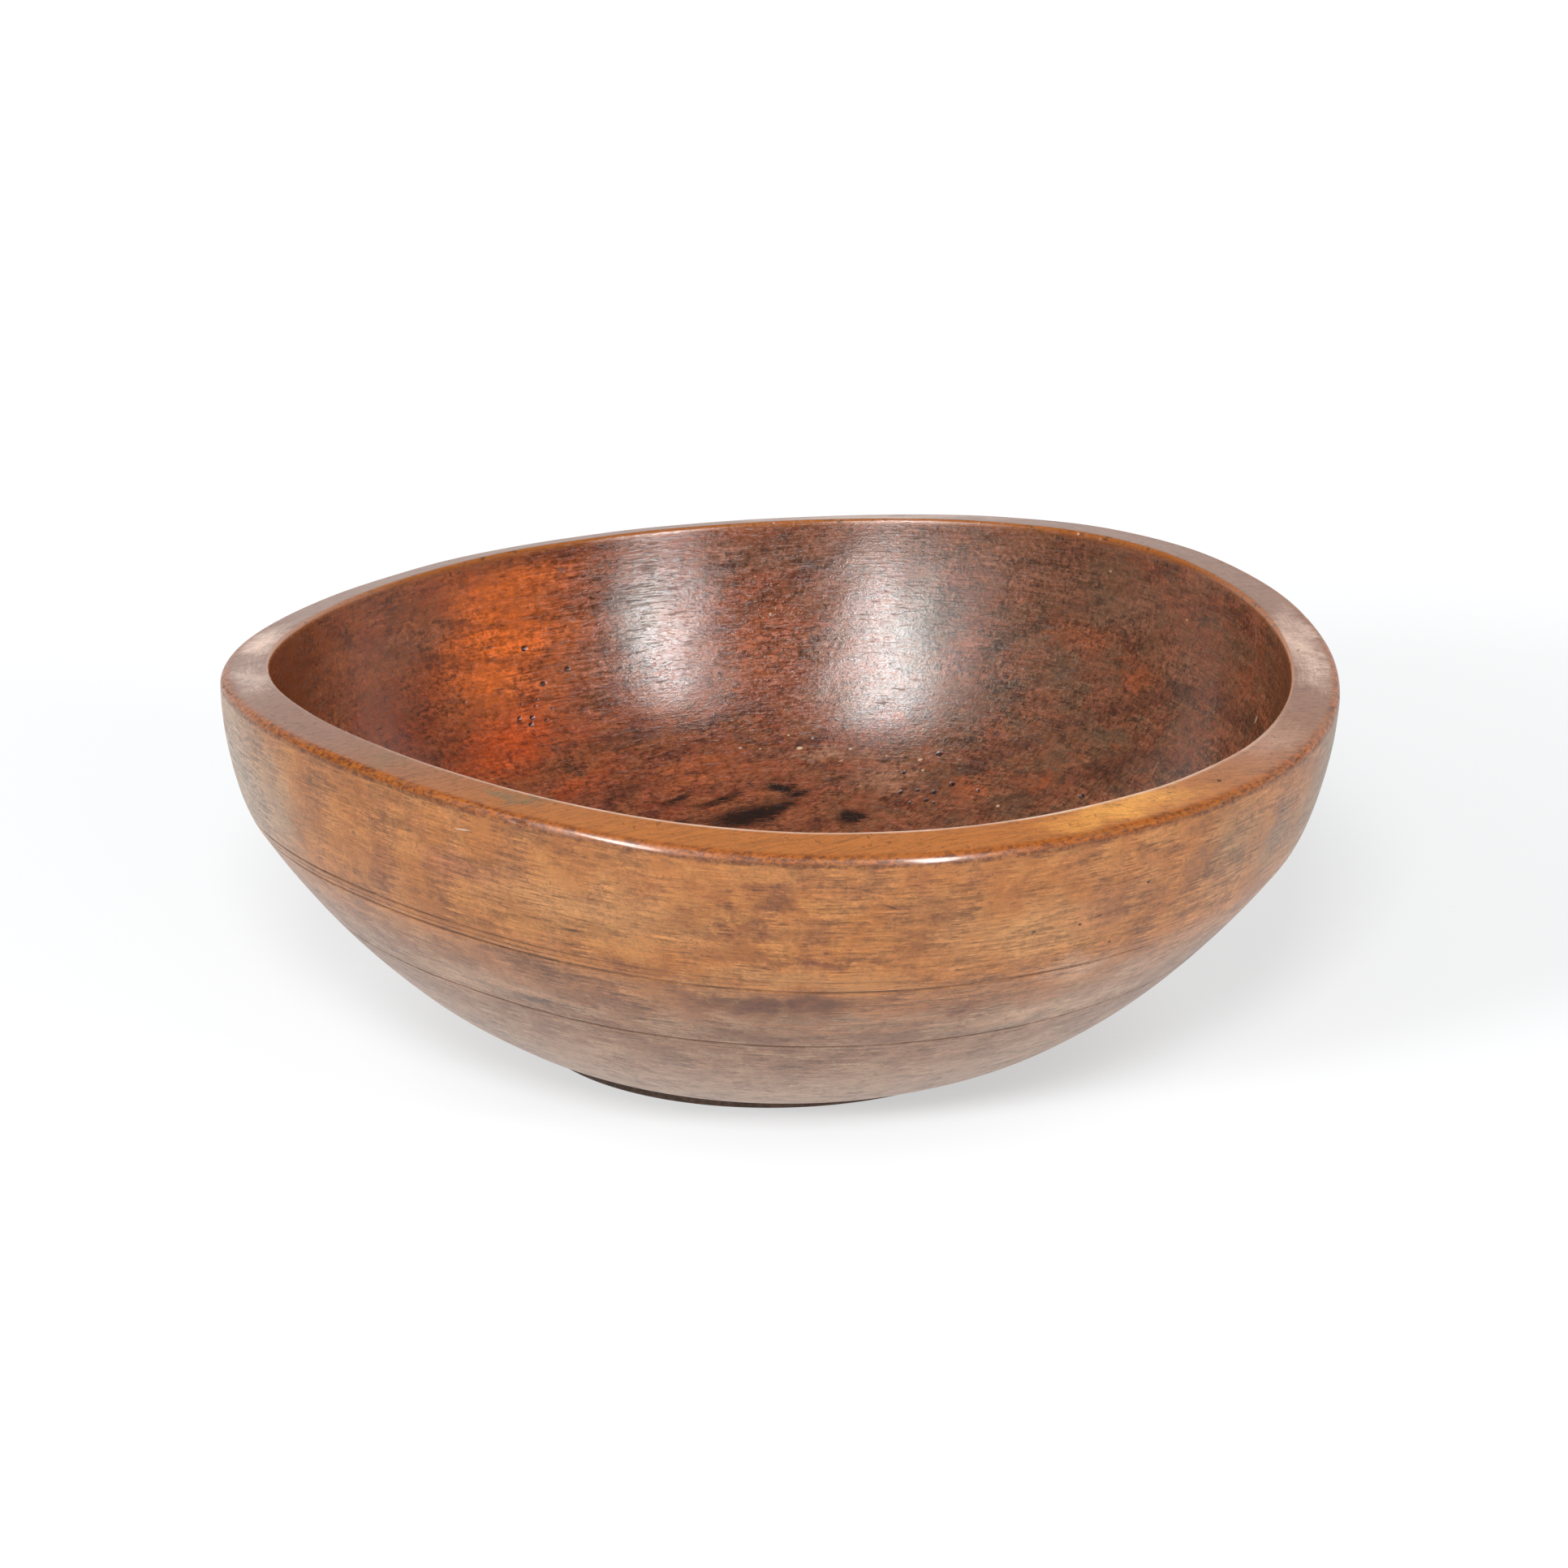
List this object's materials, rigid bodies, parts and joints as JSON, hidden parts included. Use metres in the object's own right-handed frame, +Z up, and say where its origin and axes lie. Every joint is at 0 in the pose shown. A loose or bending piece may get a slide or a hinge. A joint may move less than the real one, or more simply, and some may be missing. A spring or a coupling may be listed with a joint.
{
  "type": "dairy bowl",
  "caption": "Wide turned wooden dairy bowl, gone oval with age, with a flat outward-sloping rim, fine incised lines round the outside and a low foot. Holds milk, cream or dough.",
  "frame": {"origin": "on the surface that the bowl stands on, under the middle of its overall box", "axes": "+Z up out of the mouth, +X along the longer side of the oval's overall box, +Y across it"},
  "size_m": [0.4114, 0.3886, 0.1525],
  "materials": {
    "waxed_wood": "old waxed wood, honey brown outside and deep reddish brown inside, semi-gloss with wear, stains and small holes"
  },
  "bodies": {
    "root": {"bowl": "waxed_wood"}
  },
  "joints": []
}
